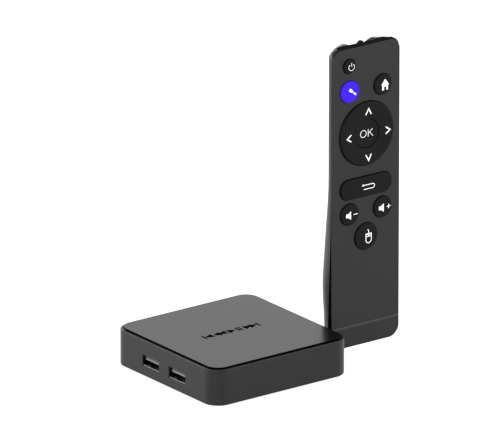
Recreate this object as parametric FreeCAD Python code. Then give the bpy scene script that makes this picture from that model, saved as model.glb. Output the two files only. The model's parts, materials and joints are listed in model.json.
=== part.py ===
import FreeCAD, Part
import math
import os

# A streaming media player: a small set-top box and the remote control that comes with it.
# Millimetres, +Z up. The origin is the middle of the box's foot ring, on the table.
# The plain front of the box faces -Y, its USB side -X and its other sockets +Y.
# The remote stands on end at +X, on the same table, with its keys facing -Y.

V = FreeCAD.Vector
TOUCH = 0.05                      # running clearance between neighbouring solids
X_AXIS, Y_AXIS, Z_AXIS = V(1, 0, 0), V(0, 1, 0), V(0, 0, 1)

# ---- driving dimensions of the box
BOX_HALF = 41.0                   # half the side of the square case
BOX_CORNER_R = 8.3
CASE_FOOT_Z = 0.8                 # the case hangs this far above the table
RIM_Z = 19.05                     # top of the rim around the lid plate
LID_TOP_Z = 19.88
LID_INSET = 1.57                  # from the case's side to the lid plate's edge
LID_GROOVE = 0.4
LID_EDGE = (0.65, 0.12)           # the lid plate's overhanging edge: height of its undercut, top radius
CASE_WALL = 1.8
DECK_Z = (16.3, 17.8)             # the shelf that the lid plate is bonded to
COVER_Z = (CASE_FOOT_Z, 2.8)
BOARD_Z = (4.7, 5.9)
BOARD_HALF = 38.6
BOSS_AT = 32.5                    # screw bosses, in x and y
BOSS_R = 3.0
SCREW_R, SCREW_TIP_Z = 1.25, 11.0
SCREW_HEAD_R, SCREW_HEAD_Z = 2.3, (1.3, 2.6)
CROSS_SLOT = (2.6, 0.6, 2.0)      # length, width, and the height that it reaches to
VENT_ROWS, VENT_PITCH, VENT_REACH, VENT_R = 9, 4.0, 11.0, 0.7
FOOT_RING_R = (24.5, 29.5)
FOOT_RING_TOP = 1.4
SOCKET_FACE = 40.6                # how far out the sockets' mouths reach

# ---- the box's sockets
USB_AT_Y = (-10.65, 10.65)
USB_SIZE = (13.1, 5.6)            # width and height over the steel shell
USB_MID_Z = 8.85
USB_DEPTH = 14.0
USB_SHEET = 0.32
USB_TONGUE = (11.1, 1.84)
HDMI_X, LAN_X, POWER_X, AV_X = -8.5, 9.5, -24.0, 24.0
HDMI_SIZE = (15.0, 5.9)
LAN_SIZE = (16.0, 11.5)
LAN_Z, LAN_BACK_Y = 4.0, 27.0
LAN_LATCH = (6.2, 0.7, 3.0)       # the latch's groove: width, and its floor and roof above LAN_Z
LAN_FLOOR = 2.1                   # from LAN_Z to the main cavity's floor
JACK_BACK_Y = 26.0
LAN_CAVITY = (11.9, 7.4, 12.6)    # width, height, depth
POWER_BORE_R, POWER_PIN_R, POWER_AXIS_Z = 3.1, 1.0, 10.7
AV_BORE_R, AV_AXIS_Z = 1.8, 8.9
POWER_BORE_DEPTH, AV_BORE_DEPTH = 10.0, 13.0

# ---- the box's electronics
PROCESSOR_AT = (0, 2)
CHIP_HEIGHT, PAD_HEIGHT = 1.2, 0.5
SINK_SIDE, SINK_BASE, FIN_HEIGHT, FIN_THICK, FIN_PITCH = 36.0, 1.5, 5.4, 1.0, 4.375
ANTENNA_THICK, ANTENNA_Z = 0.8, (7.0, 14.0)
LEAD_R, LEAD_BEND, LEAD_Z = 0.57, 5.0, 8.4

# ---- driving dimensions of the remote, whose own frame is u across, t back from its face, z up
REMOTE_X, REMOTE_Y = 74.25, -8.55
REMOTE_HALF = 20.45
REMOTE_HEIGHT = 153.5
PLATE_DROP, BAR_DROP = 0.8, 0.5    # how far the plate and the bar at the top stop short of that
TOP_CORNER_R, FOOT_CORNER_R = 5.4, 6.1
TOP_CORNER_GROWTH = (2.2, 7.4, 13.6)   # the top corners grow rounder between two depths, to this radius
SEAM_Z = 11.0
PLATE_T = 1.2
PLATE_RIM = (0.45, 1.3)           # the plate is only this thick near its edge, over this width
PLATE_EDGE_R = 0.2
PARTING_GAP = 0.18
SEAM_CHAMFER = (0.95, 0.45)       # height and depth of the bevel along the top of the end cap
SHELL_WALL = 1.2
SLIM_DEPTH, BULGE_DEPTH = 7.4, 16.5
BACK_EDGE_R = 1.0
BULGE_ENDS = (44.0, 88.0)         # the back falls from full to slim depth between these heights
FOOT_EASE = (0.6, 14.0)           # the bulge loses this much towards the foot, over this height
SIDE_DEPTH = 0.6                  # straight part of the sides before the back's rounding
SIDE_BUMP = (2.3, 31.0, 14.0)     # more of it beside the batteries: amount, middle, spread
STRIP_DEPTH = (3.3, 78.0)         # the dark strip on the sides: depth at the foot, height where it ends
STRIP_SAG = 0.10                  # how far its edge bows, as a share of how much it widens
TOP_STRIP = (16.5, 3.9)           # the dark strip at the top: half-width, depth
FRAME_INSET, FRAME_WIDTH = 0.3, 1.7
NOTCH = (4.3, 8.6, 2.0)           # the emitter's notch: half-width at the bottom and top, depth
EMITTER_R, EMITTER_T, EMITTER_Z = 1.95, 4.6, (147.0, 154.05)
EMITTER_ROOM = (4.6, 146.0)       # half-width and foot of the room that the board and mat leave for it
REMOTE_BOARD_T = (3.1, 3.9)
MAT_T = (2.65, 3.05)
DOME_TOP_T = 1.8

# ---- the remote's keys: across, height, radius
KEY_PROUD = 0.95
KEY_EDGE = 0.45
KEY_CROWN = 0.12
KEY_GAP = 0.3
FLANGE = 0.7
FLANGE_T = (1.35, 1.75)
ROUND_KEYS = {
    "power_key": (-10.2, 143.9, 3.65),
    "voice_key": (-10.2, 131.0, 5.45),
    "home_key": (9.9, 130.9, 5.25),
    "volume_down_key": (-10.0, 68.3, 5.4),
    "volume_up_key": (9.9, 68.3, 5.35),
    "mouse_key": (0.0, 55.2, 6.75),
}
BACK_KEY = (-0.1, 80.95, 30.8, 10.2, 4.75)    # across, height, width, length, corner radius
DPAD = (0.2, 107.8, 16.25)
OK_R = 7.3
OK_PROUD = 0.35
OK_GAP = 0.2
DPAD_FLANGE = (17.3, 1.75, 2.1)               # radius, front and back depth
DPAD_EDGE = (1.0, 0.85)                       # width and height of the ring's rounded outer edge
DPAD_DISH = 0.3                               # how far the dish bows forward of its inner edge
COLLAR_R, COLLAR_T = (10.1, 14.5), (1.3, 2.2)
COLLAR_GAP = 0.4

# ---- batteries
CELL_R, CELL_BODY, CELL_NUB, CELL_NUB_R = 5.25, 43.5, 1.0, 1.9
CELL_AT_U, CELL_T = 5.6, 9.25
BAY_Z = (5.0, 52.5)
CONTACT = 0.4
LEAF_HALF, LEAF_WIDTH, LEAF_SHEET = 3.4, 5.0, 0.3
TRAY_WALL = 0.7
DOOR_Z, DOOR_HALF, DOOR_CORNER_R, DOOR_GAP = (8.0, 53.0), 14.0, 2.5, 0.25
DOOR_FRONT_T = 9.0


# ---------------------------------------------------------------- helpers
def block(x, y, z):
    """A box between the low and high values given for each axis."""
    return Part.makeBox(x[1] - x[0], y[1] - y[0], z[1] - z[0], V(x[0], y[0], z[0]))


def centred(middle, size, z):
    return block((middle[0] - size[0] / 2, middle[0] + size[0] / 2),
                 (middle[1] - size[1] / 2, middle[1] + size[1] / 2), z)


def rod(radius, start, end):
    way = V(*end) - V(*start)
    return Part.makeCylinder(radius, way.Length, V(*start), way)


def fused(shapes):
    whole = shapes[0]
    for more in shapes[1:]:
        whole = whole.fuse(more)
    return whole.removeSplitter()


def less(shape, *cutters):
    for cutter in cutters:
        shape = shape.cut(cutter)
    return shape


def along(edge, way):
    ends = edge.Vertexes
    return len(ends) == 2 and abs((ends[1].Point - ends[0].Point).normalize().dot(way)) > 0.999


def lies_at(edge, axis, value):
    box = edge.BoundBox
    low, high = {"x": (box.XMin, box.XMax), "y": (box.YMin, box.YMax), "z": (box.ZMin, box.ZMax)}[axis]
    return abs(low - value) < 1e-3 and abs(high - value) < 1e-3


def softened(shape, radius, chosen):
    return shape.makeFillet(radius, [e for e in shape.Edges if chosen(e)])


def rounded_slab(half, corner_r, z):
    """A square slab on the origin, with rounded corners."""
    return softened(block((-half, half), (-half, half), z), corner_r, lambda e: along(e, Z_AXIS))


def rounded_panel(half, z, corner_r, t):
    """A panel facing -Y, from height z[0] to z[1], with one radius for its four corners."""
    panel = block((-half, half), t, z)
    return softened(panel, corner_r, lambda e: along(e, Y_AXIS))


def four_corners():
    return [(x, y) for x in (-BOSS_AT, BOSS_AT) for y in (-BOSS_AT, BOSS_AT)]


def turned(profile, across, height):
    """Turns a closed outline of (radius, depth) points around a key's axis. Three points make an arc."""
    edges = []
    for piece in profile:
        points = [V(across + r, t, height) for r, t in piece]
        if len(points) == 3:
            edges.append(Part.Arc(*points).toShape())
        else:
            edges.append(Part.makeLine(*points))
    face = Part.Face(Part.Wire(edges))
    return face.revolve(V(across, 0, height), Y_AXIS, 360)


def save(name, *shapes):
    solids = [solid for shape in shapes for solid in shape.Solids]
    for solid in solids:
        if not solid.isValid() or solid.Volume <= 0:
            raise RuntimeError(name + " has a bad solid")
    whole = solids[0] if len(solids) == 1 else Part.makeCompound(solids)
    whole.exportStep("parts/" + name + ".step")


def save_remote(name, *shapes):
    save(name, *[shape.translated(V(REMOTE_X, REMOTE_Y, 0)) for shape in shapes])


# ---------------------------------------------------------------- the box's case
def usb_windows():
    width, height = USB_SIZE[0] + 0.3, USB_SIZE[1] + 0.3
    z = (USB_MID_Z - height / 2, USB_MID_Z + height / 2)
    return [centred((-BOX_HALF, y), (4 * CASE_WALL, width), z) for y in USB_AT_Y]


def rear_windows():
    inside, outside = BOX_HALF - 2 * CASE_WALL, BOX_HALF + 1
    gap = 0.3
    return [
        hdmi_outline(gap, inside, outside),
        block((LAN_X - LAN_SIZE[0] / 2 - gap, LAN_X + LAN_SIZE[0] / 2 + gap), (inside, outside),
              (LAN_Z - gap, LAN_Z + LAN_SIZE[1] + gap)),
        rod(POWER_BORE_R + 1.1, (POWER_X, inside, POWER_AXIS_Z), (POWER_X, outside, POWER_AXIS_Z)),
        rod(AV_BORE_R + 1.3, (AV_X, inside, AV_AXIS_Z), (AV_X, outside, AV_AXIS_Z)),
    ]


def box_housing():
    case = rounded_slab(BOX_HALF, BOX_CORNER_R, (CASE_FOOT_Z, RIM_Z))
    case = softened(case, 0.45, lambda e: lies_at(e, "z", RIM_Z))
    case = softened(case, 0.6, lambda e: lies_at(e, "z", CASE_FOOT_Z))
    groove = LID_INSET - LID_GROOVE
    recess = rounded_slab(BOX_HALF - groove, BOX_CORNER_R - groove, (DECK_Z[1], LID_TOP_Z + 1))
    cavity = rounded_slab(BOX_HALF - CASE_WALL, BOX_CORNER_R - CASE_WALL, (0, DECK_Z[0]))
    case = less(case, recess, cavity)
    bosses = [rod(BOSS_R, (x, y, BOARD_Z[1]), (x, y, DECK_Z[0])) for x, y in four_corners()]
    case = fused([case] + bosses)
    holes = [rod(SCREW_R + TOUCH, (x, y, 0), (x, y, SCREW_TIP_Z + 1)) for x, y in four_corners()]
    return less(case, *holes, *usb_windows(), *rear_windows())


def top_plate():
    """The lid plate: its edge hangs over an undercut that runs all round."""
    half, corner = BOX_HALF - LID_INSET, BOX_CORNER_R - LID_INSET
    undercut, edge_r = LID_EDGE
    foot = LID_TOP_Z - undercut - 2 * edge_r
    edge = rounded_slab(half, corner, (foot, LID_TOP_Z))
    edge = edge.makeChamfer(undercut, [e for e in edge.Edges if lies_at(e, "z", foot)])
    edge = softened(edge, edge_r, lambda e: lies_at(e, "z", LID_TOP_Z))
    core = rounded_slab(half - undercut, corner - undercut, (DECK_Z[1], LID_TOP_Z - edge_r))
    return fused([core, edge])


def bottom_cover():
    inset = CASE_WALL + 0.15
    cover = rounded_slab(BOX_HALF - inset, BOX_CORNER_R - inset, COVER_Z)
    posts = [rod(BOSS_R, (x, y, COVER_Z[0]), (x, y, BOARD_Z[0])) for x, y in four_corners()]
    cover = fused([cover] + posts)
    holes = [rod(SCREW_R + 0.15, (x, y, 0), (x, y, BOARD_Z[0])) for x, y in four_corners()]
    heads = [rod(SCREW_HEAD_R + 0.3, (x, y, 0), (x, y, SCREW_HEAD_Z[1])) for x, y in four_corners()]
    vents = []
    for row in range(VENT_ROWS):
        y = VENT_PITCH * (row - (VENT_ROWS - 1) / 2)
        vents.append(block((-VENT_REACH, VENT_REACH), (y - VENT_R, y + VENT_R), (0, 4)))
        vents += [rod(VENT_R, (x, y, 0), (x, y, 4)) for x in (-VENT_REACH, VENT_REACH)]
    return less(cover, foot_ring_body(0, TOUCH), *holes, *heads, *vents)


def foot_ring_body(bottom, spare=0.0):
    inner, outer = FOOT_RING_R
    ring = rod(outer + spare, (0, 0, bottom), (0, 0, FOOT_RING_TOP))
    return less(ring, rod(inner - spare, (0, 0, bottom - 1), (0, 0, 4)))


def foot_ring():
    return softened(foot_ring_body(0), 0.25, lambda e: lies_at(e, "z", 0))


def case_screws():
    screws = []
    for x, y in four_corners():
        head = rod(SCREW_HEAD_R, (x, y, SCREW_HEAD_Z[0]), (x, y, SCREW_HEAD_Z[1]))
        shank = rod(SCREW_R, (x, y, SCREW_HEAD_Z[1]), (x, y, SCREW_TIP_Z))
        long, wide, reach = CROSS_SLOT
        cross = [centred((x, y), size, (0, reach)) for size in ((long, wide), (wide, long))]
        screws.append(less(fused([head, shank]), *cross))
    return screws


# ---------------------------------------------------------------- the box's electronics
def main_board():
    board = rounded_slab(BOARD_HALF, BOX_CORNER_R - CASE_WALL - 0.6, BOARD_Z)
    holes = [rod(SCREW_R + 0.25, (x, y, 0), (x, y, 8)) for x, y in four_corners()]
    half = LAN_SIZE[0] / 2 + 0.2
    lan_bay = block((LAN_X - half, LAN_X + half), (LAN_BACK_Y - 0.2, BOX_HALF), (4, 7))
    return less(board, lan_bay, *holes)


def on_board(middle, size, height, lift=0.0):
    return centred(middle, size, (BOARD_Z[1] + lift, BOARD_Z[1] + lift + height))


def heat_sink():
    lift = CHIP_HEIGHT + PAD_HEIGHT
    base = on_board(PROCESSOR_AT, (SINK_SIDE, SINK_SIDE), SINK_BASE, lift)
    fins = [on_board((FIN_PITCH * i, PROCESSOR_AT[1]), (FIN_THICK, SINK_SIDE), FIN_HEIGHT, lift + SINK_BASE)
            for i in range(-4, 5)]
    return fused([base] + fins)


def wifi_antennas():
    inner = BOX_HALF - CASE_WALL - TOUCH
    return [block((inner - ANTENNA_THICK, inner), (-14, 6), ANTENNA_Z),
            block((8, 28), (-inner, -inner + ANTENNA_THICK), ANTENNA_Z)]


def antenna_leads():
    """Two thin coaxial leads, each two straight runs joined by an arc."""
    leads = []
    for start, corner, end in (((30, -17), (36, -17), (36, -8)), ((24, -26), (24, -36), (16, -36))):
        a, c, b = (V(p[0], p[1], LEAD_Z) for p in (start, corner, end))
        in_way, out_way = (c - a).normalize(), (b - c).normalize()
        p, q = c - in_way * LEAD_BEND, c + out_way * LEAD_BEND
        centre = p + out_way * LEAD_BEND
        middle = centre + (c - centre).normalize() * LEAD_BEND
        path = Part.Wire([Part.makeLine(a, p), Part.Arc(p, middle, q).toShape(), Part.makeLine(q, b)])
        ring = Part.Wire(Part.makeCircle(LEAD_R, a, in_way))
        leads.append(path.makePipeShell([ring], True, False))
    return leads


def usb_shell(y):
    width, height = USB_SIZE
    front, back = -SOCKET_FACE, -SOCKET_FACE + USB_DEPTH
    low, high = USB_MID_Z - height / 2, USB_MID_Z + height / 2
    shell = block((front, back), (y - width / 2, y + width / 2), (low, high))
    shell = softened(shell, 0.6, lambda e: along(e, X_AXIS))
    inner = block((front - 1, back - 0.4), (y - width / 2 + USB_SHEET, y + width / 2 - USB_SHEET),
                  (low + USB_SHEET, high - USB_SHEET))
    inner = softened(inner, 0.3, lambda e: along(e, X_AXIS))
    springs = [block((front + 1.2, front + 7), (y + side * 3.2 - 0.9, y + side * 3.2 + 0.9),
                     (low + 0.1, low + USB_SHEET + 0.35)) for side in (-1, 1)]
    feet = [block((front + at, front + at + 1.6), (y - 5.5, y + 5.5), (BOARD_Z[1], low + 0.1))
            for at in (3, 10)]
    return fused([less(shell, inner)] + springs + feet)


def tongue_top():
    return USB_MID_Z + USB_SIZE[1] / 2 - USB_SHEET - 0.55


def usb_tongue(y):
    width, height = USB_TONGUE
    top = tongue_top()
    tongue = block((-SOCKET_FACE + 0.8, -SOCKET_FACE + USB_DEPTH - 0.4), (y - width / 2, y + width / 2),
                   (top - height, top))
    return softened(tongue, 0.25, lambda e: lies_at(e, "x", -SOCKET_FACE + 0.8))


def usb_contacts(y):
    bottom = tongue_top() - USB_TONGUE[1]
    x, z = (-SOCKET_FACE + 1.8, -SOCKET_FACE + 12), (bottom - 0.25, bottom)
    return [block(x, (y + at - 0.5, y + at + 0.5), z) for at in (-3.5, -1.0, 1.0, 3.5)]


def hdmi_outline(grow, y0, y1):
    """The socket's outline, wide at the top with sloping lower corners, drawn out along Y."""
    half, height = HDMI_SIZE[0] / 2 + grow, HDMI_SIZE[1] + grow
    low = BOARD_Z[1] - grow
    points = [(-half, height + BOARD_Z[1]), (-half, low + 2.2), (-half + 2.0, low), (half - 2.0, low),
              (half, low + 2.2), (half, height + BOARD_Z[1])]
    corners = [V(HDMI_X + x, y0, z) for x, z in points]
    return Part.Face(Part.makePolygon(corners + corners[:1])).extrude(V(0, y1 - y0, 0))


def hdmi_shell():
    back = SOCKET_FACE - 11.0
    return less(hdmi_outline(0, back, SOCKET_FACE), hdmi_outline(-0.4, back + 0.4, SOCKET_FACE + 1))


def hdmi_tongue():
    back = SOCKET_FACE - 10.6
    foot = block((HDMI_X - 5, HDMI_X + 5), (back, back + 1.5), (BOARD_Z[1] + 1.0, BOARD_Z[1] + 4.5))
    blade = block((HDMI_X - 5.5, HDMI_X + 5.5), (back, SOCKET_FACE - 1.2),
                  (BOARD_Z[1] + 2.7, BOARD_Z[1] + 3.7))
    return fused([foot, blade])


def lan_cavity():
    width, height, depth = LAN_CAVITY
    wide, floor, roof = LAN_LATCH
    y = (SOCKET_FACE - depth, SOCKET_FACE + 1)
    main = block((LAN_X - width / 2, LAN_X + width / 2), y, (LAN_Z + LAN_FLOOR, LAN_Z + LAN_FLOOR + height))
    latch = block((LAN_X - wide / 2, LAN_X + wide / 2), y, (LAN_Z + floor, LAN_Z + roof))
    return [main, latch]


def lan_socket():
    width, height = LAN_SIZE
    body = block((LAN_X - width / 2, LAN_X + width / 2), (LAN_BACK_Y, SOCKET_FACE), (LAN_Z, LAN_Z + height))
    return less(body, *lan_cavity())


def lan_contacts():
    roof = LAN_Z + LAN_FLOOR + LAN_CAVITY[1]
    strips = []
    for i in range(8):
        x = LAN_X + 1.02 * (i - 3.5)
        strips.append(block((x - 0.2, x + 0.2), (SOCKET_FACE - 10, SOCKET_FACE - 2), (roof - 0.4, roof)))
    return strips


def round_socket(x, axis_z, bore_r, depth, width):
    """A moulded jack: a block on the board and a round nose that fills the hole in the case."""
    inside = BOX_HALF - CASE_WALL - 0.3
    body = block((x - width / 2, x + width / 2), (JACK_BACK_Y, inside), (BOARD_Z[1], 2 * axis_z - BOARD_Z[1]))
    nose = rod(bore_r + 0.9, (x, inside, axis_z), (x, SOCKET_FACE, axis_z))
    bore = rod(bore_r, (x, SOCKET_FACE - depth, axis_z), (x, SOCKET_FACE + 1, axis_z))
    return less(fused([body, nose]), bore)


def power_pin():
    foot, tip = SOCKET_FACE - POWER_BORE_DEPTH, SOCKET_FACE - 1
    pin = rod(POWER_PIN_R, (POWER_X, foot, POWER_AXIS_Z), (POWER_X, tip, POWER_AXIS_Z))
    return softened(pin, 0.4, lambda e: lies_at(e, "y", tip))


def ir_receiver():
    y = -BOX_HALF + CASE_WALL + 0.5
    body = block((-2.5, 2.5), (y + 1.5, y + 3.5), (BOARD_Z[1], BOARD_Z[1] + 6))
    lens = less(rod(2.0, (0, y + 1.5, BOARD_Z[1] + 1), (0, y + 1.5, BOARD_Z[1] + 5)),
                block((-3, 3), (y + 1.5, y + 5), (0, 15)))
    return fused([body, lens])


def build_box():
    save("box_housing", box_housing())
    save("top_plate", top_plate())
    save("bottom_cover", bottom_cover())
    save("foot_ring", foot_ring())
    save("case_screws", *case_screws())
    save("main_board", main_board())
    save("processor", on_board(PROCESSOR_AT, (15, 15), CHIP_HEIGHT))
    save("thermal_pad", on_board(PROCESSOR_AT, (15, 15), PAD_HEIGHT, CHIP_HEIGHT))
    save("heat_sink", heat_sink())
    save("memory_chips", *[on_board((x, 2), (7.5, 13.3), 0.9) for x in (-13.2, 13.2)])
    save("storage_chip", on_board((0, -25), (11.5, 13), 1.0))
    save("wifi_module", on_board((24, -20), (12, 12), 1.9))
    save("wifi_antennas", *wifi_antennas())
    save("antenna_leads", *antenna_leads())
    save("usb_shells", *[usb_shell(y) for y in USB_AT_Y])
    save("usb_tongues", *[usb_tongue(y) for y in USB_AT_Y])
    save("usb_contacts", *[strip for y in USB_AT_Y for strip in usb_contacts(y)])
    save("hdmi_shell", hdmi_shell())
    save("hdmi_tongue", hdmi_tongue())
    save("lan_socket", lan_socket())
    save("lan_contacts", *lan_contacts())
    save("power_jack", round_socket(POWER_X, POWER_AXIS_Z, POWER_BORE_R, POWER_BORE_DEPTH, 9.0))
    save("power_pin", power_pin())
    save("av_jack", round_socket(AV_X, AV_AXIS_Z, AV_BORE_R, AV_BORE_DEPTH, 7.0))
    save("ir_receiver", ir_receiver())
    save("status_led", on_board((-12, -37.8), (1.6, 0.8), 0.8))
    low, high = BOARD_Z[1], BOARD_Z[1] + 5.5
    save("capacitors", *[rod(2.5, (-22, y, low), (-22, y, high)) for y in (9.5, 15.5, 21.5)])
    places = ((-22, -8), (-22, -14), (-22, -20), (-15, -25))
    save("inductors", *[on_board(at, (4, 4), 2.4) for at in places])


# ---------------------------------------------------------------- the remote's casing
def smooth(x):
    x = min(max(x, 0.0), 1.0)
    return x * x * (3 - 2 * x)


def depth_at(z):
    """How deep the remote is at a height: slim at the top, a battery bulge below."""
    fall = smooth((z - BULGE_ENDS[0]) / (BULGE_ENDS[1] - BULGE_ENDS[0]))
    eased = FOOT_EASE[0] * max(0.0, 1 - z / FOOT_EASE[1]) ** 2
    return BULGE_DEPTH - (BULGE_DEPTH - SLIM_DEPTH) * fall - eased


def side_at(z):
    amount, middle, spread = SIDE_BUMP
    return SIDE_DEPTH + amount * math.exp(-((z - middle) / spread) ** 2)


def section(z, inset, front):
    """The outline across the remote at one height: flat sides, two large arcs and a flat back."""
    half, back, side = REMOTE_HALF - inset, depth_at(z) - inset, side_at(z)
    radius = back - side
    slant = radius * math.sqrt(0.5)
    edges = [Part.makeLine(V(-half, front, z), V(-half, side, z))]
    edges.append(Part.Arc(V(-half, side, z), V(-half + radius - slant, side + slant, z),
                          V(-half + radius, back, z)).toShape())
    edges.append(Part.makeLine(V(-half + radius, back, z), V(half - radius, back, z)))
    edges.append(Part.Arc(V(half - radius, back, z), V(half - radius + slant, side + slant, z),
                          V(half, side, z)).toShape())
    edges.append(Part.makeLine(V(half, side, z), V(half, front, z)))
    edges.append(Part.makeLine(V(half, front, z), V(-half, front, z)))
    return Part.Wire(edges)


def outline(inset, z, t, drop=0.0):
    """The remote's front outline, inset all round, lower at the top by drop, and drawn out in depth."""
    half, high = REMOTE_HALF - inset, REMOTE_HEIGHT - drop - inset
    body = block((-half, half), t, (max(z[0], inset), min(z[1], high)))
    if z[0] <= inset:
        low = max(z[0], inset)
        body = softened(body, FOOT_CORNER_R - inset, lambda e: along(e, Y_AXIS) and lies_at(e, "z", low))
    if z[1] >= high:
        body = softened(body, TOP_CORNER_R - inset, lambda e: along(e, Y_AXIS) and lies_at(e, "z", high))
    return body


def top_corner(t):
    start, end, radius = TOP_CORNER_GROWTH
    share = min(max((t - start) / (end - start), 0.0), 1.0)
    return TOP_CORNER_R + (radius - TOP_CORNER_R) * share


def front_wire(inset, t):
    """The remote's outline at one depth, with top corners that grow rounder towards the back."""
    half, low, high = REMOTE_HALF - inset, inset, REMOTE_HEIGHT - inset
    top, foot = top_corner(t) - inset, FOOT_CORNER_R - inset
    edges = []
    for side, above, radius in ((1, 0, foot), (1, 1, top), (-1, 1, top), (-1, 0, foot)):
        u, z, rise = side * half, high if above else low, -1 if above else 1
        slant = radius * (1 - math.sqrt(0.5))
        on_side, on_end = V(u, t, z + rise * radius), V(u - side * radius, t, z)
        middle = V(u - side * slant, t, z + rise * slant)
        start, end = (on_side, on_end) if (side > 0) == bool(above) else (on_end, on_side)
        if edges:
            edges.append(Part.makeLine(last, start))
        edges.append(Part.Arc(start, middle, end).toShape())
        last = end
    edges.append(Part.makeLine(last, edges[0].Vertexes[0].Point))
    return Part.Wire(edges)


def rear_body(inset, front):
    """The solid form of the back: a loft up the remote, trimmed to its front outline."""
    step = 6
    heights = range(-step, int(REMOTE_HEIGHT) + 2 * step, step)
    loft = Part.makeLoft([section(z, inset, front) for z in heights], True, False, False, 5)
    depths = (front - 1, *TOP_CORNER_GROWTH[:2], BULGE_DEPTH + 1)
    return loft.common(Part.makeLoft([front_wire(inset, t) for t in depths], True, True)).Solids[0]


def parting_cut():
    """Everything in front of the rear shell: the plate's depth, then a strip that widens to the foot."""
    front, back = -3.0, PLATE_RIM[0] + PARTING_GAP
    deep, top = STRIP_DEPTH
    low, high, left = -5, REMOTE_HEIGHT + 5, -REMOTE_HALF - 5
    chord = math.hypot(top - SEAM_Z, deep - back)
    rise = (deep - back) / chord
    sag = STRIP_SAG * (deep - back)
    half_way = V(left, (deep + back) / 2 - sag, (SEAM_Z + top) / 2 - sag * rise)
    a, b, c = V(left, deep, low), V(left, deep, SEAM_Z), V(left, back, top)
    d, e, f = V(left, back, high), V(left, front, high), V(left, front, low)
    edges = [Part.makeLine(a, b), Part.Arc(b, half_way, c).toShape(), Part.makeLine(c, d),
             Part.makeLine(d, e), Part.makeLine(e, f), Part.makeLine(f, a)]
    cut = Part.Face(Part.Wire(edges)).extrude(V(-2 * left, 0, 0))
    half, depth = TOP_STRIP
    return cut.fuse(block((-half, half), (0, depth), (REMOTE_HEIGHT - 4, REMOTE_HEIGHT + 5)))


def emitter_notch():
    low, high, depth = NOTCH
    floor, roof = REMOTE_HEIGHT - depth, REMOTE_HEIGHT + 1
    flare = high + (high - low) / depth
    corners = [V(-low, 0, floor), V(low, 0, floor), V(flare, 0, roof), V(-flare, 0, roof)]
    return Part.Face(Part.makePolygon(corners + corners[:1])).extrude(V(0, BULGE_DEPTH, 0))


def door_outline(gap):
    z = (DOOR_Z[0] + gap, DOOR_Z[1] - gap)
    return rounded_panel(DOOR_HALF - gap, z, DOOR_CORNER_R, (DOOR_FRONT_T, 25))


def top_rounding():
    """What the top's back edge loses when it is rounded off."""
    t, z = SLIM_DEPTH - BACK_EDGE_R, REMOTE_HEIGHT - BACK_EDGE_R
    half = REMOTE_HALF + 1
    corner = block((-half, half), (t, SLIM_DEPTH + 1), (z, REMOTE_HEIGHT + 1))
    return corner.cut(rod(BACK_EDGE_R, (-half - 1, t, z), (half + 1, t, z)))


def shell_wall():
    return less(rear_body(0, 0), top_rounding(), rear_body(SHELL_WALL, -1))


def rear_shell(wall):
    pocket = rod(EMITTER_R + 0.2, (0, EMITTER_T, 140), (0, EMITTER_T, 160))
    return less(wall, parting_cut(), emitter_notch(), pocket, door_outline(0))


def battery_door(wall):
    door = wall.common(door_outline(DOOR_GAP))
    hook = block((-1.8, 1.8), (14.1, 14.9), (DOOR_Z[0] - 1.4, DOOR_Z[0] + 3))
    neck = block((-1.8, 1.8), (14.1, 15.6), (DOOR_Z[0] + 1.0, DOOR_Z[0] + 3))
    grips = [rounded_panel(5.0, (z, z + 0.9), 0.4, (13.5, BULGE_DEPTH + 0.25)) for z in (43.5, 45.5, 47.5)]
    ribs = [rib.common(block((-9, 9), (15.2, BULGE_DEPTH + 0.25), (40, 50))) for rib in grips]
    return fused([door, hook, neck] + ribs)


def front_plate():
    """The key plate: its thin rim covers the front of the frame, its thicker middle drops inside."""
    rim, width = PLATE_RIM
    z = (SEAM_Z + TOUCH, REMOTE_HEIGHT)
    plate = outline(0, z, (0, rim), PLATE_DROP)
    plate = softened(plate, PLATE_EDGE_R, lambda e: lies_at(e, "y", 0) and e.BoundBox.ZMax > SEAM_Z + 1)
    plate = fused([plate, outline(width, z, (rim, PLATE_T), PLATE_DROP)])
    holes = [rod(r + KEY_GAP, (u, -1, z), (u, 3, z)) for u, z, r in ROUND_KEYS.values()]
    holes.append(rod(DPAD[2] + KEY_GAP, (DPAD[0], -1, DPAD[1]), (DPAD[0], 3, DPAD[1])))
    holes.append(back_key_body(KEY_GAP, (-1, 3)))
    return less(plate, *holes)


def end_cap():
    """The plain piece below the key plate, with a bevel along the seam."""
    rim, width = PLATE_RIM
    cap = outline(0, (0, SEAM_Z), (0, rim))
    cap = softened(cap, PLATE_EDGE_R, lambda e: lies_at(e, "y", 0) and not lies_at(e, "z", SEAM_Z))
    cap = fused([cap, outline(width, (0, SEAM_Z), (rim, PLATE_T))])
    height, depth = SEAM_CHAMFER
    low, high, left = SEAM_Z - height, SEAM_Z + 0.5 * height, -REMOTE_HALF - 1
    corners = [V(left, 0, low), V(left, 1.5 * depth, high), V(left, -1, high), V(left, -1, low)]
    bevel = Part.Face(Part.makePolygon(corners + corners[:1])).extrude(V(-2 * left, 0, 0))
    return cap.cut(bevel)


def frame_ring(inset, thick, t):
    return outline(inset, (0, REMOTE_HEIGHT), t).cut(
        outline(inset + thick, (0, REMOTE_HEIGHT), (t[0] - 1, t[1] + 1)))


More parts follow.
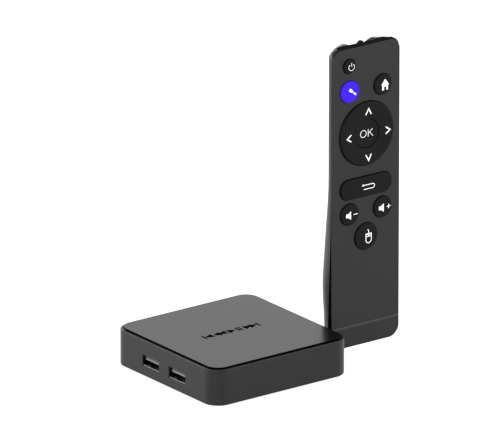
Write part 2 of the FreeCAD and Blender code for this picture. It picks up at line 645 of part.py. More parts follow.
def mid_frame(wall):
    """The dark frame between plate and shell: a hidden wall, and the strip that the shell leaves bare."""
    front, back = PLATE_T + TOUCH, 4.0
    half, depth = TOP_STRIP
    hidden = frame_ring(SHELL_WALL + 0.15, 1.2, (front, back))
    strip = frame_ring(FRAME_INSET, FRAME_WIDTH, (front, back))
    lip = frame_ring(FRAME_INSET, SHELL_WALL - FRAME_INSET, (PLATE_RIM[0] + TOUCH, front))
    top = REMOTE_HEIGHT - BAR_DROP
    bar = block((-half, half), (PLATE_RIM[0] + TOUCH, depth), (top - SHELL_WALL, top))
    holder = block((-4.2, 4.2), (front, 6.0), (148.5, REMOTE_HEIGHT - NOTCH[2]))
    ring = fused([hidden, strip, lip]).common(rear_body(FRAME_INSET, 0))
    frame = fused([ring, bar.common(rear_body(TOUCH, 0)), holder])
    bore = rod(EMITTER_R + TOUCH, (0, EMITTER_T, 140), (0, EMITTER_T, 160))
    return max(less(frame, wall, bore).Solids, key=lambda solid: solid.Volume)


# ---------------------------------------------------------------- the remote's keys
def round_key(across, height, radius):
    """A key cap: crowned top, rounded edge, straight skirt and a flange behind the plate."""
    top, shoulder = -KEY_PROUD, -KEY_PROUD + KEY_CROWN
    corner, edge = radius - KEY_EDGE, shoulder + KEY_EDGE
    slant = KEY_EDGE * math.sqrt(0.5)
    front, back = FLANGE_T
    crown = ((0, top), (corner / 2, top + KEY_CROWN / 4), (corner, shoulder))
    rounding = ((corner, shoulder), (corner + slant, edge - slant), (radius, edge))
    rim = radius + FLANGE
    profile = [crown, rounding, ((radius, edge), (radius, front)), ((radius, front), (rim, front)),
               ((rim, front), (rim, back)), ((rim, back), (0, back)), ((0, back), (0, top))]
    return turned(profile, across, height)


def back_key_body(grow, t):
    across, height, width, length, corner = BACK_KEY
    z = (height - length / 2 - grow, height + length / 2 + grow)
    return rounded_panel(width / 2 + grow, z, corner + grow, t).translated(V(across, 0, 0))


def back_key():
    cap = back_key_body(0, (-KEY_PROUD, FLANGE_T[0]))
    cap = softened(cap, KEY_EDGE, lambda e: lies_at(e, "y", -KEY_PROUD))
    return fused([cap, back_key_body(FLANGE, FLANGE_T)])


def dpad_ring():
    """The direction ring: a rounded rim that dishes down to the middle key, hollow behind."""
    u, z, radius = DPAD
    hole = OK_R + OK_GAP
    flange_r, front, back = DPAD_FLANGE
    wide, high = DPAD_EDGE
    crest, inner, low = radius - wide, -OK_PROUD - 0.15, -KEY_PROUD + high
    pocket_in, pocket_out, roof = COLLAR_R[0] - 0.6, COLLAR_R[1] + 0.6, COLLAR_T[0] - COLLAR_GAP
    profile = [
        ((hole, inner), ((hole + crest) / 2, inner - DPAD_DISH), (crest, -KEY_PROUD)),
        ((crest, -KEY_PROUD), (crest + 0.72 * wide, low - 0.72 * high), (radius, low)),
        ((radius, low), (radius, front)), ((radius, front), (flange_r, front)),
        ((flange_r, front), (flange_r, back)), ((flange_r, back), (pocket_out, back)),
        ((pocket_out, back), (pocket_out, roof)), ((pocket_out, roof), (pocket_in, roof)),
        ((pocket_in, roof), (pocket_in, back)), ((pocket_in, back), (hole, back)),
        ((hole, back), (hole, inner)),
    ]
    return turned(profile, u, z)


def ok_key():
    u, z, _ = DPAD
    top, edge, back = -OK_PROUD, 0.3, FLANGE_T[1]
    bend = edge * (1 - math.sqrt(0.5))
    profile = [
        ((0, top + 0.2), (OK_R / 2, top + 0.15), (OK_R - edge, top)),
        ((OK_R - edge, top), (OK_R - bend, top + bend), (OK_R, top + edge)),
        ((OK_R, top + edge), (OK_R, back)), ((OK_R, back), (0, back)), ((0, back), (0, top + 0.2)),
    ]
    return turned(profile, u, z)


def dpad_collar():
    u, z, _ = DPAD
    inner, outer = COLLAR_R
    front, back = COLLAR_T
    return rod(outer, (u, front, z), (u, back, z)).cut(rod(inner, (u, front - 1, z), (u, back + 1, z)))


def key_domes():
    places = [(u, z) for u, z, _ in ROUND_KEYS.values()] + [DPAD[:2]]
    places += [(BACK_KEY[0] + side * 9, BACK_KEY[1]) for side in (-1, 1)]
    foot = MAT_T[0]
    domes = [Part.makeCone(2.4, 1.3, foot - DOME_TOP_T, V(u, foot, z), -Y_AXIS) for u, z in places]
    mid, low_height = sum(COLLAR_R) / 2, foot - COLLAR_T[1] - 0.02
    for du, dz in ((mid, 0), (-mid, 0), (0, mid), (0, -mid)):
        domes.append(Part.makeCone(1.9, 1.2, low_height, V(DPAD[0] + du, foot, DPAD[1] + dz), -Y_AXIS))
    return domes


# ---------------------------------------------------------------- inside the remote
def emitter_bay():
    """The room that the board and the mat leave for the infrared emitter and its holder."""
    half, foot = EMITTER_ROOM
    return block((-half, half), (0, 8), (foot, REMOTE_HEIGHT))


def remote_board():
    return rounded_panel(16.9, (5.5, 149.8), 4.0, REMOTE_BOARD_T).cut(emitter_bay())


def keypad_mat():
    return rounded_panel(16.8, (46.0, 149.6), 4.0, MAT_T).cut(emitter_bay())


def emitter():
    top = EMITTER_Z[1] - EMITTER_R
    body = rod(EMITTER_R, (0, EMITTER_T, EMITTER_Z[0]), (0, EMITTER_T, top))
    return fused([body, Part.makeSphere(EMITTER_R, V(0, EMITTER_T, top))])


def battery_cell(u, upright):
    """A cell whose nub points up or down; its other end leaves room for a spring."""
    low, high = BAY_Z
    if upright:
        nub, seat, foot = high, high - CELL_NUB, high - CELL_NUB - CELL_BODY
    else:
        nub, seat, foot = low, low + CELL_NUB, low + CELL_NUB + CELL_BODY
    body = rod(CELL_R, (u, CELL_T, foot), (u, CELL_T, seat))
    body = softened(body, 0.5, lambda e: lies_at(e, "z", seat) or lies_at(e, "z", foot))
    return fused([body, rod(CELL_NUB_R, (u, CELL_T, seat), (u, CELL_T, nub))])


def battery_spring(u, upright):
    """An arched leaf of spring sheet between a cell's flat end and its contact plate."""
    plate = BAY_Z[0] if upright else BAY_Z[1]
    way = 1 if upright else -1
    rise = BAY_Z[1] - BAY_Z[0] - CELL_BODY - CELL_NUB - TOUCH
    arcs = []
    for half, crest in ((LEAF_HALF, rise), (LEAF_HALF - LEAF_SHEET, rise - LEAF_SHEET)):
        arcs.append([V(u - LEAF_WIDTH / 2, CELL_T + side * half, plate + way * lift)
                     for side, lift in ((-1, 0), (0, crest), (1, 0))])
    outer, inner = arcs
    edges = [Part.Arc(*outer).toShape(), Part.makeLine(outer[2], inner[2]),
             Part.Arc(*inner[::-1]).toShape(), Part.makeLine(inner[0], outer[0])]
    return Part.Face(Part.Wire(edges)).extrude(V(LEAF_WIDTH, 0, 0))


def battery_contacts():
    low, high = BAY_Z
    link = block((-9.8, 9.8), (5.0, 13.0), (low - CONTACT, low))
    ends = [block((u - 4.2, u + 4.2), (5.0, 13.0), (high, high + CONTACT)) for u in (-CELL_AT_U, CELL_AT_U)]
    return [link] + ends


def battery_tray():
    low, high = BAY_Z[0] - CONTACT, BAY_Z[1] + CONTACT
    half, front, back = 11.1, REMOTE_BOARD_T[1] + TOUCH, 12.0
    outer = block((-half - TRAY_WALL, half + TRAY_WALL), (front, back), (low - TRAY_WALL, high + TRAY_WALL))
    return outer.cut(block((-half, half), (front - 1, back + 1), (low, high)))


def build_remote():
    wall = shell_wall()
    save_remote("remote_front_plate", front_plate())
    save_remote("remote_end_cap", end_cap())
    save_remote("remote_mid_frame", mid_frame(rear_shell(wall)))
    save_remote("remote_rear_shell", rear_shell(wall))
    save_remote("battery_door", battery_door(wall))
    save_remote("remote_board", remote_board())
    save_remote("keypad_mat", keypad_mat())
    save_remote("key_domes", *key_domes())
    back = REMOTE_BOARD_T[1]
    save_remote("remote_chip", block((-3, 3), (back, back + 0.9), (112, 118)))
    save_remote("microphone", block((6, 9), (back, back + 1.0), (140, 144)))
    save_remote("ir_emitter", emitter())
    cells = ((-CELL_AT_U, True), (CELL_AT_U, False))
    save_remote("battery_cells", *[battery_cell(u, upright) for u, upright in cells])
    save_remote("battery_springs", *[battery_spring(u, upright) for u, upright in cells])
    save_remote("battery_contacts", *battery_contacts())
    save_remote("battery_tray", battery_tray())
    for name, place in ROUND_KEYS.items():
        save_remote(name, round_key(*place))
    save_remote("back_key", back_key())
    save_remote("dpad_ring", dpad_ring())
    save_remote("dpad_collar", dpad_collar())
    save_remote("ok_key", ok_key())


os.makedirs("parts", exist_ok=True)
build_box()
build_remote()
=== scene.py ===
import json
import math

import bmesh
import bpy
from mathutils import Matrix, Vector
from mathutils.bvhtree import BVHTree
from mathutils.geometry import delaunay_2d_cdt


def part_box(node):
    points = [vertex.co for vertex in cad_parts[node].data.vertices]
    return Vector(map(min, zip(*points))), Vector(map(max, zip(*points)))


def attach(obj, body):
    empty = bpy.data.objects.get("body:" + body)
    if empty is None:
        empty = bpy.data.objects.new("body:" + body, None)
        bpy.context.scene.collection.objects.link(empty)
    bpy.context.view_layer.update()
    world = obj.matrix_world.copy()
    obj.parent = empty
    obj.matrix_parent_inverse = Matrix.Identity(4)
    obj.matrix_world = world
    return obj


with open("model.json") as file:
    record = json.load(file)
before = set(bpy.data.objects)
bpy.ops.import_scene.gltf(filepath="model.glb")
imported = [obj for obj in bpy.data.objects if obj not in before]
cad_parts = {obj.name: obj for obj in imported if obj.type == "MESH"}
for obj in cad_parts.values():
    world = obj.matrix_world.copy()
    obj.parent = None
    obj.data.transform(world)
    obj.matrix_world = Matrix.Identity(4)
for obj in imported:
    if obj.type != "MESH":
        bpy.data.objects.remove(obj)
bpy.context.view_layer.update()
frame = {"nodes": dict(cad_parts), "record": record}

# A streaming media player and its remote control. The CAD parts keep their shapes: this script gives them
# their surfaces, prints the symbols on the keys and the lid, and sets the floor, the lights and the camera.

NODES = frame["nodes"]
BODY_OF = {node: body for body, nodes in frame["record"]["behaviour"]["bodies"].items() for node in nodes}
SLOT_OF = {part["node"]: part["material_slot"] for part in frame["record"]["subparts"]}
MM = 0.001
NOISE_LOW, NOISE_HIGH = 0.3, 0.7    # most of a noise's values lie between these


# ---------------------------------------------------------------- shader helpers
class Surface:
    """A material with one Principled shader, and short ways to add nodes to it."""

    def __init__(self, name, **sockets):
        self.material = bpy.data.materials.new(name)
        self.material.use_nodes = True
        self.tree = self.material.node_tree
        self.tree.nodes.clear()
        self.shader = self.add("ShaderNodeBsdfPrincipled")
        output = self.add("ShaderNodeOutputMaterial")
        self.link(self.shader.outputs["BSDF"], output.inputs["Surface"])
        self.place = self.add("ShaderNodeTexCoord").outputs["Object"]
        for socket, value in sockets.items():
            self.set(socket.replace("_", " "), value)

    def add(self, kind, **settings):
        node = self.tree.nodes.new(kind)
        for key, value in settings.items():
            setattr(node, key, value)
        return node

    def link(self, start, end):
        self.tree.links.new(start, end)

    def set(self, socket, value):
        if isinstance(value, tuple) and len(value) == 3:
            value = (*value, 1.0)
        self.shader.inputs[socket].default_value = value

    def stretched(self, scale):
        mapping = self.add("ShaderNodeMapping")
        mapping.inputs["Scale"].default_value = scale
        self.link(self.place, mapping.inputs["Vector"])
        return mapping.outputs["Vector"]

    def noise(self, size, detail=3.0, roughness=0.5, stretch=(1, 1, 1)):
        """A noise whose features are about size metres across."""
        node = self.add("ShaderNodeTexNoise")
        node.inputs["Scale"].default_value = 1.0 / size
        node.inputs["Detail"].default_value = detail
        node.inputs["Roughness"].default_value = roughness
        self.link(self.stretched(stretch), node.inputs["Vector"])
        return node.outputs["Fac"]

    def ramp(self, source, low, high, stops):
        """Spreads source between low and high over a colour ramp."""
        spread = self.spread(source, low, high, 0.0, 1.0)
        node = self.add("ShaderNodeValToRGB")
        elements = node.color_ramp.elements
        while len(elements) < len(stops):
            elements.new(0.5)
        for element, (at, colour) in zip(elements, stops):
            element.position = at
            element.color = (*colour, 1.0)
        self.link(spread, node.inputs["Fac"])
        return node.outputs["Color"]

    def spread(self, source, low, high, to_low, to_high):
        node = self.add("ShaderNodeMapRange")
        values = {"From Min": low, "From Max": high, "To Min": to_low, "To Max": to_high}
        for socket, value in values.items():
            node.inputs[socket].default_value = value
        self.link(source, node.inputs["Value"])
        return node.outputs["Result"]

    def colour(self, source, *stops):
        """Colours the surface by a noise: the stops are (place, colour)."""
        self.link(self.ramp(source, NOISE_LOW, NOISE_HIGH, stops), self.shader.inputs["Base Color"])

    def roughness(self, source, rough, swing):
        values = self.spread(source, NOISE_LOW, NOISE_HIGH, rough - swing, rough + swing)
        self.link(values, self.shader.inputs["Roughness"])

    def bump(self, *layers):
        """Each layer is (source, depth in metres)."""
        normal = None
        for source, depth in layers:
            node = self.add("ShaderNodeBump")
            node.inputs["Strength"].default_value = 1.0
            node.inputs["Distance"].default_value = depth
            self.link(source, node.inputs["Height"])
            if normal is not None:
                self.link(normal, node.inputs["Normal"])
            normal = node.outputs["Normal"]
        self.link(normal, self.shader.inputs["Normal"])


def shade(colour, factor):
    return tuple(min(1.0, channel * factor) for channel in colour)


def moulded(name, colour, rough, grain, depth, swing=0.05, patch=0.02, contrast=0.12, **sockets):
    """A moulded plastic or rubber: a fine spark texture, and soft patches where it is more or less matt."""
    made = Surface(name, **sockets)
    patches = made.noise(patch, detail=4.0, roughness=0.55)
    specks = made.noise(grain, detail=2.0, roughness=0.6)
    made.colour(patches, (0.0, shade(colour, 1 - contrast)), (1.0, shade(colour, 1 + contrast)))
    made.roughness(specks, rough, swing)
    made.bump((made.noise(patch * 0.6, detail=2.0), depth * 2), (specks, depth))
    return made.material


def metal(name, colour, rough, stretch=(1, 1, 1), grain=0.0004):
    """Sheet metal with fine drawn lines along the axis that stretch makes longest."""
    made = Surface(name, Metallic=1.0)
    lines = made.noise(grain, detail=3.0, stretch=stretch)
    tarnish = made.noise(0.004, detail=4.0)
    made.colour(tarnish, (0.0, shade(colour, 0.86)), (1.0, shade(colour, 1.08)))
    made.roughness(lines, rough, 0.09)
    made.bump((lines, 0.000004))
    return made.material


def board(name, mask, trace):
    """Solder mask over copper: straight tracks in two directions."""
    made = Surface(name, Roughness=0.28, Coat_Weight=0.35, Coat_Roughness=0.12)
    tracks = made.add("ShaderNodeTexBrick", offset=0.5, squash=0.6, squash_frequency=3)
    for socket, value in {"Scale": 260.0, "Mortar Size": 0.035, "Mortar Smooth": 0.1, "Bias": -0.2}.items():
        tracks.inputs[socket].default_value = value
    tracks.inputs["Color1"].default_value = (*mask, 1)
    tracks.inputs["Color2"].default_value = (*shade(mask, 0.82), 1)
    tracks.inputs["Mortar"].default_value = (*trace, 1)
    made.link(made.stretched((1, 1, 1)), tracks.inputs["Vector"])
    made.link(tracks.outputs["Color"], made.shader.inputs["Base Color"])
    made.bump((tracks.outputs["Fac"], 0.00002), (made.noise(0.0009), 0.000008))
    return made.material


def banded(name, axis, between, greys, rough, **sockets):
    """A grey that goes from one shade to another between two places along an axis."""
    made = Surface(name, **sockets)
    place = made.add("ShaderNodeSeparateXYZ")
    made.link(made.place, place.inputs["Vector"])
    shades = [(at, (grey, grey, grey)) for at, grey in enumerate(greys)]
    made.link(made.ramp(place.outputs[axis], *between, shades), made.shader.inputs["Base Color"])
    specks = made.noise(0.0004, detail=2.0)
    made.roughness(specks, rough, 0.05)
    made.bump((specks, 0.000003))
    return made.material


def cell_wrap(name, low, high):
    """The printed wrap of a battery: dark, with a copper band at one end, and bare steel at both tips."""
    made = Surface(name, Metallic=0.65, Coat_Weight=0.5, Coat_Roughness=0.15)
    height = made.add("ShaderNodeSeparateXYZ")
    made.link(made.place, height.inputs["Vector"])
    steel, dark, copper = (0.62, 0.61, 0.6), (0.03, 0.032, 0.036), (0.62, 0.27, 0.1)
    ramp = made.ramp(height.outputs["Z"], low, high,
                     ((0.0, steel), (0.035, dark), (0.70, copper), (0.965, steel)))
    ramp.node.color_ramp.interpolation = "CONSTANT"
    made.link(ramp, made.shader.inputs["Base Color"])
    made.roughness(made.noise(0.0012, stretch=(1, 1, 0.2)), 0.33, 0.08)
    made.bump((made.noise(0.002, detail=4.0), 0.000012))
    return made.material


# ---------------------------------------------------------------- the surfaces of the CAD parts
CELL_LOW, CELL_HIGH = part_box("battery_cells")
TONGUE_LOW, TONGUE_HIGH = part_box("usb_tongues")
TONGUE_MIDDLE = (TONGUE_LOW.z + TONGUE_HIGH.z) / 2
USB_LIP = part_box("usb_shells")[0].z + 0.0003        # just inside the USB shells' lower wall
TRIM_STEP = (0.1478, 0.1486)        # the trim is a little paler above this height: the bar along the top

LOOKS = {
    "case_plastic": moulded("case_plastic", (0.0052, 0.0052, 0.0054), 0.42, 0.00035, 0.000005,
                            Specular_IOR_Level=0.265),
    "lid_plastic": moulded("lid_plastic", (0.0012, 0.0012, 0.0013), 0.20, 0.00030, 0.0000004,
                           swing=0.015, contrast=0.04, Specular_IOR_Level=0.045),
    "cover_plastic": moulded("cover_plastic", (0.014, 0.014, 0.0145), 0.58, 0.00045, 0.000016,
                             Specular_IOR_Level=0.35),
    "foot_rubber": moulded("foot_rubber", (0.010, 0.010, 0.010), 0.82, 0.00050, 0.000020,
                           Specular_IOR_Level=0.25),
    "socket_plastic": moulded("socket_plastic", (0.008, 0.008, 0.008), 0.42, 0.00040, 0.000006,
                              Specular_IOR_Level=0.3),
    # The USB tongues' colour goes from pale grey in the lower half to near black in the upper half. The dark
    # upper half is painted shade under the socket's top wall.
    "tongue_plastic": banded("tongue_plastic", "Z", (TONGUE_MIDDLE - 0.0002, TONGUE_MIDDLE + 0.0003),
                             (0.10, 0.014), 0.50),
    "chip_epoxy": moulded("chip_epoxy", (0.016, 0.016, 0.017), 0.62, 0.00020, 0.000010, patch=0.004),
    "gap_pad": moulded("gap_pad", (0.20, 0.42, 0.58), 0.75, 0.0006, 0.000030, patch=0.003),
    "lead_jacket": moulded("lead_jacket", (0.012, 0.012, 0.012), 0.5, 0.0005, 0.000008),
    "dark_lens": moulded("dark_lens", (0.0008, 0.0006, 0.0008), 0.16, 0.0010, 0.000002, swing=0.03,
                         Specular_IOR_Level=0.12, Coat_Weight=0.12, Coat_Roughness=0.06),
    "led_white": moulded("led_white", (0.80, 0.80, 0.70), 0.25, 0.0004, 0.000004),
    "remote_face": moulded("remote_face", (0.0085, 0.0085, 0.0087), 0.42, 0.00030, 0.000003, swing=0.03,
                           contrast=0.05, Specular_IOR_Level=0.235),
    "remote_shell": moulded("remote_shell", (0.0055, 0.0055, 0.0057), 0.40, 0.00035, 0.000004,
                            Specular_IOR_Level=0.26),
    # The trim between the face and the shell is black with no shine, darker than its plastic would be. This
    # is painted shade standing in for the shadowed gap around the face. The trim is a little paler along the
    # top bar.
    "remote_frame": banded("remote_frame", "Z", TRIM_STEP, (0.001, 0.009), 0.45, Specular_IOR_Level=0.0),
    "key_black": moulded("key_black", (0.0026, 0.0026, 0.0027), 0.50, 0.00028, 0.000004, contrast=0.06,
                         Specular_IOR_Level=0.09),
    "key_blue": moulded("key_blue", (0.036, 0.0085, 0.60), 0.45, 0.00028, 0.000004, contrast=0.03,
                        Specular_IOR_Level=0.06),
    "mat_silicone": moulded("mat_silicone", (0.25, 0.25, 0.26), 0.7, 0.0005, 0.000015),
    "tray_plastic": moulded("tray_plastic", (0.018, 0.018, 0.018), 0.6, 0.0004, 0.000015),
    "screw_steel": metal("screw_steel", (0.10, 0.10, 0.105), 0.42, grain=0.0003),
    "socket_steel": metal("socket_steel", (0.12, 0.12, 0.122), 0.42, stretch=(0.15, 1, 1)),
    "can_steel": metal("can_steel", (0.62, 0.62, 0.62), 0.36, stretch=(1, 0.15, 1)),
    "contact_gold": metal("contact_gold", (0.82, 0.58, 0.22), 0.24, stretch=(0.2, 1, 1)),
    "antenna_copper": metal("antenna_copper", (0.70, 0.36, 0.18), 0.38, stretch=(1, 1, 0.3)),
    "fin_aluminium": metal("fin_aluminium", (0.66, 0.67, 0.69), 0.40, stretch=(1, 0.1, 1)),
    "spring_steel": metal("spring_steel", (0.68, 0.68, 0.67), 0.26, stretch=(0.2, 1, 1)),
    "board_green": board("board_green", (0.012, 0.085, 0.035), (0.10, 0.20, 0.09)),
    "cell_wrap": cell_wrap("cell_wrap", CELL_LOW.z, CELL_HIGH.z),
}

for node, slot in SLOT_OF.items():
    mesh = NODES[node].data
    mesh.materials.clear()
    mesh.materials.append(LOOKS[slot])

# The USB shells differ from the other steel sockets. Their colour is pale along the lower lip, which is a
# painted highlight, and dark inside above it, which is painted shade.
NODES["usb_shells"].data.materials[0] = banded("usb_steel_painted_shade_and_highlight", "Z", (USB_LIP, USB_LIP + 0.0002), (0.48, 0.04),
                                               0.40, Metallic=1.0)

PRINT = moulded("print_white", (0.93, 0.93, 0.93), 0.5, 0.0005, 0.000002, contrast=0.02,
                Specular_IOR_Level=0.3)
INLAY = moulded("inlay_black", (0.001, 0.001, 0.001), 0.6, 0.0008, 0.000002, contrast=0.1,
                Specular_IOR_Level=0.0)

# ---------------------------------------------------------------- flat artwork, in millimetres
PEN_STEP = 0.35                   # the longest stretch between two points of a line or an outline
MITRE_LIMIT = 0.35                  # keeps the mitre of a sharp corner from growing too long
PRINT_RISE, PRINT_SINK = 0.035, 0.05
LONGEST_EDGE, SPLITS = 0.8, 3       # longer edges are split, at most this many times, so the print can curve


def stepped(points, closed):
    """The points with more added, so that none are further apart than PEN_STEP."""
    ends = points[1:] + points[:1] if closed else points[1:]
    out = []
    for a, b in zip(points, ends):
        count = max(1, math.ceil(math.dist(a, b) / PEN_STEP))
        across, along = b[0] - a[0], b[1] - a[1]
        out += [(a[0] + across * i / count, a[1] + along * i / count) for i in range(count)]
    return out if closed else out + [points[-1]]


def heading(start, end):
    return Vector((end[0] - start[0], end[1] - start[1])).normalized()


def stroke(points, width, closed=False):
    """A line drawn with a pen of this width, with mitred corners and square ends."""
    points = stepped(points, closed)
    count = len(points)
    verts = []
    for i, point in enumerate(points):
        ways = []
        if closed or i > 0:
            ways.append(heading(points[i - 1], point))
        if closed or i + 1 < count:
            ways.append(heading(point, points[(i + 1) % count]))
        way = sum(ways, Vector((0, 0))).normalized()
        side = Vector((-way.y, way.x)) * width / 2 / max(MITRE_LIMIT, way.dot(ways[0]))
        verts += [(point[0] + side.x, point[1] + side.y), (point[0] - side.x, point[1] - side.y)]
    faces = []
    for i in range(count if closed else count - 1):
        a, b = 2 * i, 2 * ((i + 1) % count)
        faces.append((a, a + 1, b + 1, b))
    return verts, faces


def fill(outline):
    """A filled shape, as small triangles."""
    outline = stepped(outline, True)
    loop = list(range(len(outline)))
    verts, _, faces, *_ = delaunay_2d_cdt([Vector(p) for p in outline], [], [loop], 1, 1e-6)
    return [tuple(v) for v in verts], [tuple(f) for f in faces]


def arc(centre, radii, start, end, count=24):
    """Points on an ellipse between two angles in degrees."""
    out = []
    for i in range(count + 1):
        angle = math.radians(start + (end - start) * i / count)
        out.append((centre[0] + radii[0] * math.cos(angle), centre[1] + radii[1] * math.sin(angle)))
    return out


def ring(centre, radii, width):
    return stroke(arc(centre, radii, 0, 360, 40)[:-1], width, closed=True)


def moved(patch, by, turn=0.0, size=1.0):
    angle = math.radians(turn)
    c, s = math.cos(angle) * size, math.sin(angle) * size
    verts, faces = patch
    return [(by[0] + x * c - y * s, by[1] + x * s + y * c) for x, y in verts], faces


def chevron(turn):
    """An arrow head of two strokes, pointing away from the middle of the direction ring."""
    reach, pen = 11.7, 0.56
    angle = math.radians(turn + 90)
    at = (reach * math.cos(angle), reach * math.sin(angle))
    half, rise = (1.65, 1.5) if turn % 180 == 0 else (1.75, 1.3)
    return moved(stroke([(-half, -rise), (0.0, rise), (half, -rise)], pen), at, turn)


def power_symbol():
    gap, pen = 34, 0.23
    return [stroke(arc((0, -0.2), (1.75, 1.65), 90 + gap, 450 - gap), pen),
            stroke([(0, 0.1), (0, 2.1)], pen)]


def home_symbol():
    wall, low, eaves, door, lintel = 1.75, -2.75, -0.1, 0.7, -1.0
    house = [(-wall, low), (-wall, eaves), (-2.3, eaves), (0.0, 2.85), (2.3, eaves), (wall, eaves),
             (wall, low), (door, low), (door, lintel), (-door, lintel), (-door, low)]
    return [fill(house)]


def voice_symbol():
    """A hand microphone on the slant: its rounded head and its handle."""
    head = [(-0.42, 0.35)] + arc((0.0, 1.8), (0.75, 0.8), 180, 0, 16) + [(0.42, 0.35)]
    handle = [(-0.4, -0.35), (0.4, -0.35), (0.36, -2.3), (-0.36, -2.3)]
    return [moved(fill(part), (0.6, -0.1), 51, 1.05) for part in (head, handle)]


def ok_symbol():
    k, high, pen = 0.85, 1.85, 0.26
    return [ring((-2.1, 0), (1.75, 1.75), pen),
            stroke([(k, -high), (k, high)], pen),
            stroke([(k + 0.2, -0.15), (k + 2.55, high)], pen),
            stroke([(k + 0.85, 0.3), (k + 2.75, -high)], pen)]


def back_symbol():
    """A line that turns back on itself, with a small arrow head where it ends."""
    half, rise = 3.6, 1.05
    bend = arc((half - rise, 0), (rise, rise), 90, -90, 12)
    line = [(-half + 0.5, rise)] + bend + [(-half + 0.75, -rise)]
    head = [(-half - 0.4, rise), (-half + 0.6, rise + 0.65), (-half + 0.6, rise - 0.65)]
    return [stroke(line, 0.33), fill(head)]


def speaker():
    cone = [(-1.9, -1.0), (-0.7, -1.0), (1.3, -2.35), (1.3, 2.35), (-0.7, 1.0), (-1.9, 1.0)]
    return moved(fill(cone), (-1.75, -0.15), size=0.9)


def volume_symbol(sign):
    pen = 0.33
    if sign < 0:
        return [speaker(), stroke([(1.0, 0), (3.5, 0)], pen)]
    return [speaker(), stroke([(1.25, 0), (3.55, 0)], pen),
            stroke([(2.4, pen / 2), (2.4, 1.2)], pen), stroke([(2.4, -pen / 2), (2.4, -1.2)], pen)]


def mouse_symbol():
    """A pointer device: two buttons between two bars, a hollow body below and a short lead."""
    half, low, split, high, pen = 1.65, -3.2, 0.15, 1.5, 0.34
    round_end = arc((0, low + half), (half, half), 180, 360, 20)
    body = [(-half, high)] + round_end + [(half, high)]
    band = [stroke([(-half + pen / 2, y), (half - pen / 2, y)], 0.30) for y in (split, high - 0.4)]
    return [stroke(body, pen, closed=True), *band, stroke([(0, split + 0.2), (0, high - 0.6)], pen),
            stroke([(0.0, high + pen / 2), (0.0, high + 1.3), (-0.5, high + 2.3)], 0.36)]


def lid_symbols():
    """A generic row of transport symbols: back, rewind, play and pause, next."""
    half, thin = 1.9, 0.42
    right = [(-half, -half), (half, 0.0), (-half, half)]
    bar = [(-thin, -half), (thin, -half), (thin, half), (-thin, half)]
    left = [(-x, y) for x, y in reversed(right)]
    row = [(bar, -16.6), (left, -14.0), (left, -9.2), (left, -5.9), (right, -0.2), (bar, 3.3), (bar, 5.0),
           (right, 9.4), (right, 12.7), (bar, 15.4)]
    return [moved(fill(shape), (x, 0), size=1.2) for shape, x in row]


# ---------------------------------------------------------------- laying the artwork on the parts
def tree_of(node):
    mesh = NODES[node].data
    return BVHTree.FromPolygons([v.co for v in mesh.vertices], [p.vertices for p in mesh.polygons])


def laid(name, patches, node, material, facing, by=(0.0, 0.0)):
    """A thin printed layer that follows a part's surface, by millimetres from the part's middle.

    It is seen from -Y ("front") or from +Z ("top").
    """
    low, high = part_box(node)
    middle = (low + high) / 2 + Vector((by[0], 0.0, by[1])) * MM
    surface = tree_of(node)
    bm = bmesh.new()
    for verts, faces in patches:
        made = [bm.verts.new((x * MM, y * MM, 0.0)) for x, y in verts]
        for face in faces:
            bm.faces.new([made[i] for i in face])
    bmesh.ops.triangulate(bm, faces=bm.faces[:])
    for _ in range(SPLITS):
        long_ones = [e for e in bm.edges if e.calc_length() > LONGEST_EDGE * MM]
        if long_ones:
            bmesh.ops.subdivide_edges(bm, edges=long_ones, cuts=1)
            bmesh.ops.triangulate(bm, faces=bm.faces[:])
    inward = Vector((0, 1, 0)) if facing == "front" else Vector((0, 0, -1))
    clear = 10 * MM
    for v in bm.verts:
        x, y = v.co.x, v.co.y
        if facing == "front":
            start = Vector((middle.x + x, low.y - clear, middle.z + y))
        else:
            start = Vector((middle.x + x, middle.y + y, high.z + clear))
        hit = surface.ray_cast(start, inward)[0]
        v.co = hit - inward * (PRINT_RISE * MM)
    bmesh.ops.recalc_face_normals(bm, faces=bm.faces[:])
    for face in bm.faces:
        if face.normal.dot(inward) > 0:
            face.normal_flip()
    shell = bmesh.ops.extrude_face_region(bm, geom=bm.faces[:])
    raised = {item for item in shell["geom"] if isinstance(item, bmesh.types.BMVert)}
    for v in bm.verts:
        if v not in raised:
            v.co += inward * (PRINT_SINK * MM)
    bmesh.ops.recalc_face_normals(bm, faces=bm.faces[:])
    mesh = bpy.data.meshes.new(name)
    bm.to_mesh(mesh)
    bm.free()
    piece = bpy.data.objects.new(name, mesh)
    bpy.context.scene.collection.objects.link(piece)
    mesh.materials.append(material)
    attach(piece, BODY_OF[node])
    return piece


PRINT_BY = (0.95, -0.2)             # the keys' symbols sit a little to the right of the middle
laid("power_print", power_symbol(), "power_key", PRINT, "front", (0.75, -0.15))
laid("home_print", home_symbol(), "home_key", PRINT, "front", PRINT_BY)
laid("voice_print", voice_symbol(), "voice_key", PRINT, "front", PRINT_BY)
laid("ok_print", ok_symbol(), "ok_key", PRINT, "front", (0.2, 0.0))
laid("back_print", back_symbol(), "back_key", PRINT, "front", (1.1, -0.3))
laid("volume_down_print", volume_symbol(-1), "volume_down_key", PRINT, "front", PRINT_BY)
laid("volume_up_print", volume_symbol(1), "volume_up_key", PRINT, "front", PRINT_BY)
laid("mouse_print", mouse_symbol(), "mouse_key", PRINT, "front", (1.15, -0.25))
laid("arrow_prints", [chevron(turn) for turn in (0, 90, 180, 270)], "dpad_ring", PRINT, "front", (0.8, -0.6))
laid("lid_print", lid_symbols(), "top_plate", INLAY, "top")


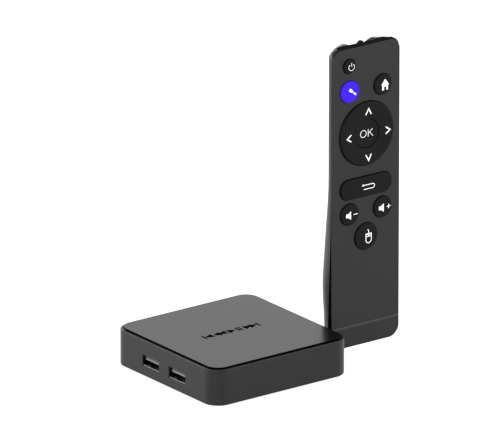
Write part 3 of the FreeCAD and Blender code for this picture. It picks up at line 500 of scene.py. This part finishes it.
# ---------------------------------------------------------------- the stage
def flat_floor(half):
    mesh = bpy.data.meshes.new("floor")
    corners = [(-half, -half, 0), (half, -half, 0), (half, half, 0), (-half, half, 0)]
    mesh.from_pydata(corners, [], [(0, 1, 2, 3)])
    floor = bpy.data.objects.new("floor", mesh)
    bpy.context.scene.collection.objects.link(floor)
    paper = moulded("floor_paper", (0.35, 0.35, 0.35), 0.9, 0.002, 0.00001, contrast=0.0, patch=0.3,
                    Specular_IOR_Level=0.0, Emission_Color=(1, 1, 1), Emission_Strength=0.85)
    mesh.materials.append(paper)


def softbox(name, place, aim, size, power):
    light = bpy.data.lights.new(name, "AREA")
    light.shape = "RECTANGLE"
    light.size, light.size_y = size
    light.energy = power
    lamp = bpy.data.objects.new(name, light)
    bpy.context.scene.collection.objects.link(lamp)
    lamp.location = place
    lamp.rotation_euler = (Vector(aim) - Vector(place)).to_track_quat("-Z", "Y").to_euler()


flat_floor(30.0)
world = bpy.data.worlds.new("studio")
bpy.context.scene.world = world
world.use_nodes = True
background = world.node_tree.nodes["Background"]
background.inputs["Color"].default_value = (1, 1, 1, 1)
background.inputs["Strength"].default_value = 1.0
softbox("back_left", (-1.1, 1.1, 0.32), (0, 0, 0.05), (2.0, 0.55), 25)
softbox("front_left", (-1.2, -0.8, 0.40), (-0.03, -0.03, 0.01), (0.25, 0.25), 9)
softbox("behind", (0.84, 1.13, 0.53), (0, 0, 0.02), (1.2, 0.7), 5.5)
softbox("right", (0.92, -1.12, 0.56), (0.07, 0, 0.02), (1.0, 0.9), 12)
bpy.context.scene.view_settings.view_transform = "Standard"

# ---------------------------------------------------------------- the camera
AZIMUTH, ELEVATION = math.radians(36.62), math.radians(19.92)
DISTANCE, LENS = 6.253, 970.2                 # metres, millimetres
UNDERSIDE = 0.0008                            # the height of the case's underside above the table
UP_SHIFT, RIGHT_SHIFT = 0.07579, 0.00382      # where it aims, from the middle of that underside

forward = Vector((math.sin(AZIMUTH) * math.cos(ELEVATION), math.cos(AZIMUTH) * math.cos(ELEVATION),
                  -math.sin(ELEVATION)))
right = Vector((math.cos(AZIMUTH), -math.sin(AZIMUTH), 0))
up = right.cross(forward)
underside = Vector((0, 0, UNDERSIDE))
lens = bpy.data.cameras.new("camera")
lens.lens, lens.sensor_width = LENS, 36.0
lens.clip_start, lens.clip_end = 0.5, 60.0
camera = bpy.data.objects.new("camera", lens)
bpy.context.scene.collection.objects.link(camera)
camera.location = underside - forward * DISTANCE
aim = underside + right * RIGHT_SHIFT + up * UP_SHIFT
camera.rotation_euler = (aim - camera.location).to_track_quat("-Z", "Y").to_euler()
bpy.context.scene.camera = camera
